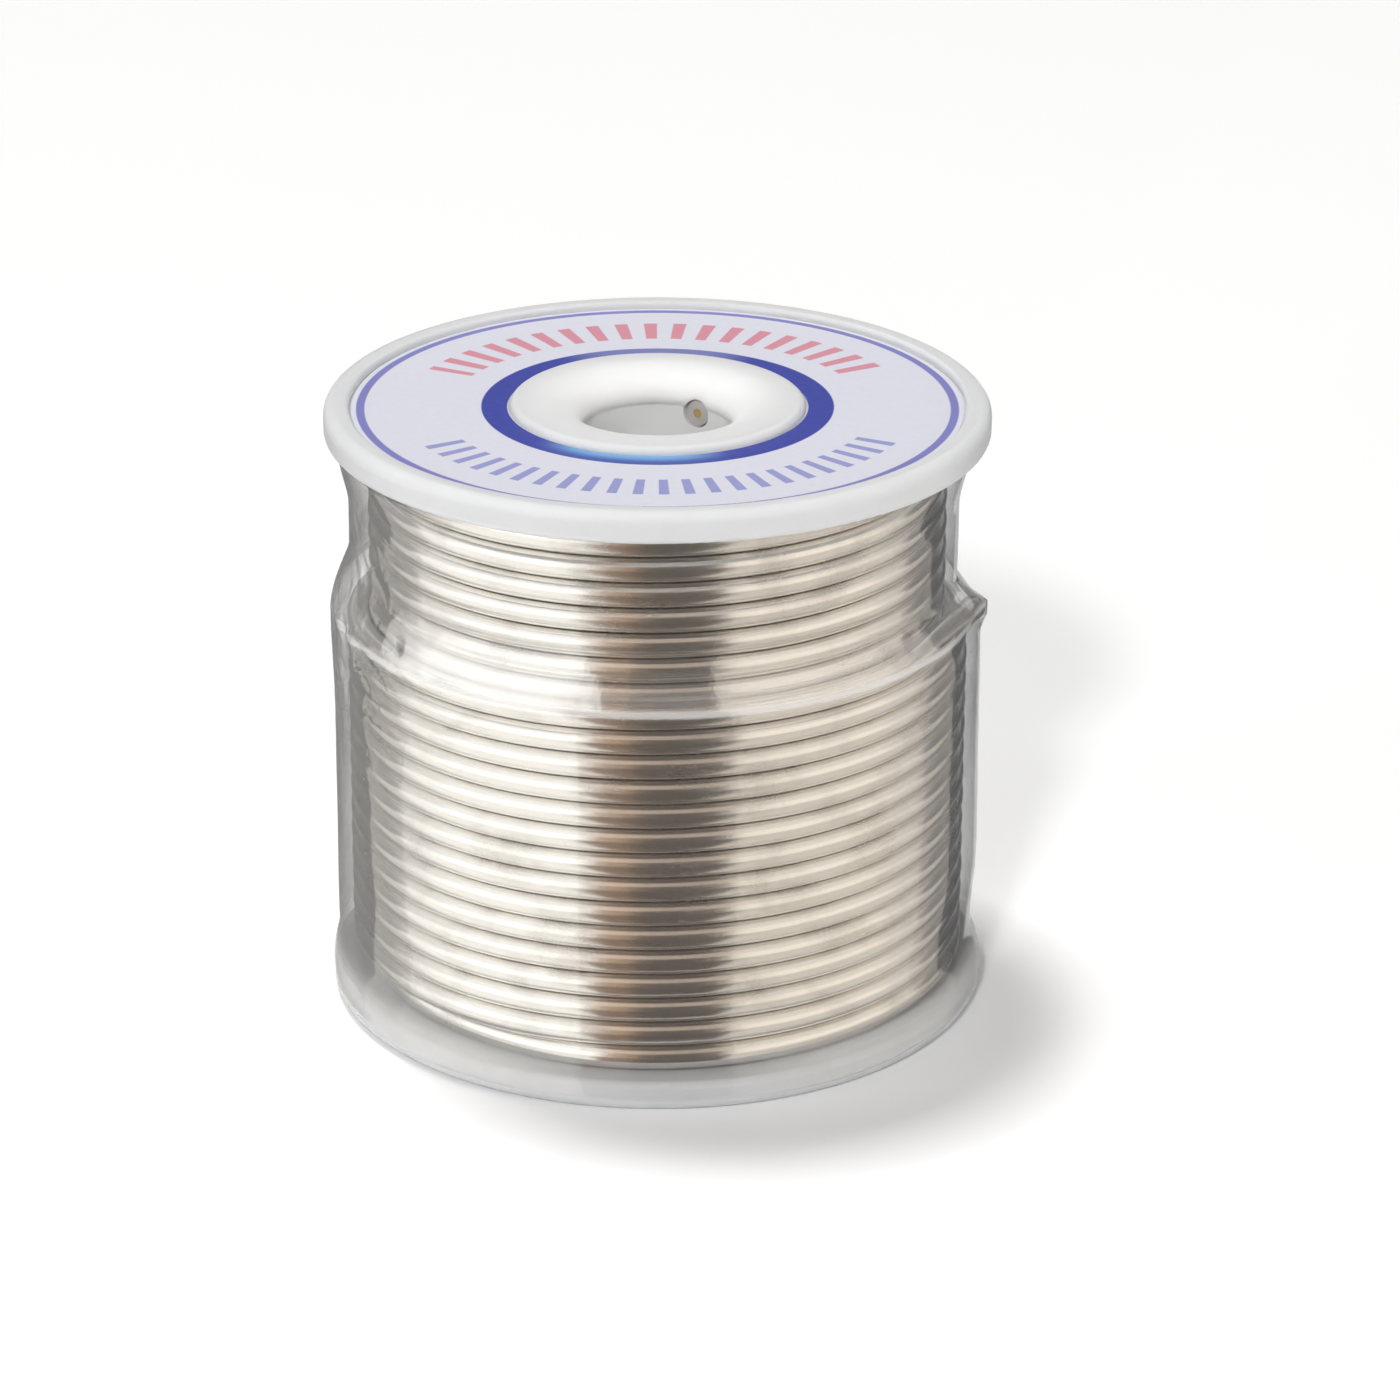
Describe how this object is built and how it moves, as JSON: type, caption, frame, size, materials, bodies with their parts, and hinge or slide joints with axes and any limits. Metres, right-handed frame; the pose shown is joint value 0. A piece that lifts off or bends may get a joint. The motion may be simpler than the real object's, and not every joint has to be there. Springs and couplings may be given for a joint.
{
  "type": "solder wire spool",
  "caption": "Flanged plastic bobbin wound full of thick solder wire, with a printed paper ring on its upper flange and a clear shrunk film sleeve round the winding.",
  "frame": {"origin": "on the spindle bore's axis, in the plane that the lower flange stands on", "axes": "+Z along the bore, from the lower flange up to the flange with the label; the picture looks along +Y and down, with +X to the right"},
  "size_m": [0.0684, 0.0684, 0.064],
  "materials": {
    "bobbin_plastic": "white injection-moulded polystyrene, semi-gloss",
    "solder": "bright drawn tin-lead solder wire",
    "flux": "amber rosin",
    "label_paper": "coated paper, printed in blue and red",
    "clear_film": "clear shrunk film, glossy and wrinkled"
  },
  "bodies": {
    "root": {"upper_flange": "bobbin_plastic", "lower_flange": "bobbin_plastic", "barrel": "bobbin_plastic", "wire_core": "solder", "wire_start_tail": "solder", "wire_under_turns": "solder", "wire_outer_turns": "solder", "flux_core_inner_end": "flux", "flux_core_free_end": "flux", "top_label": "label_paper", "film_sleeve": "clear_film"}
  },
  "joints": []
}
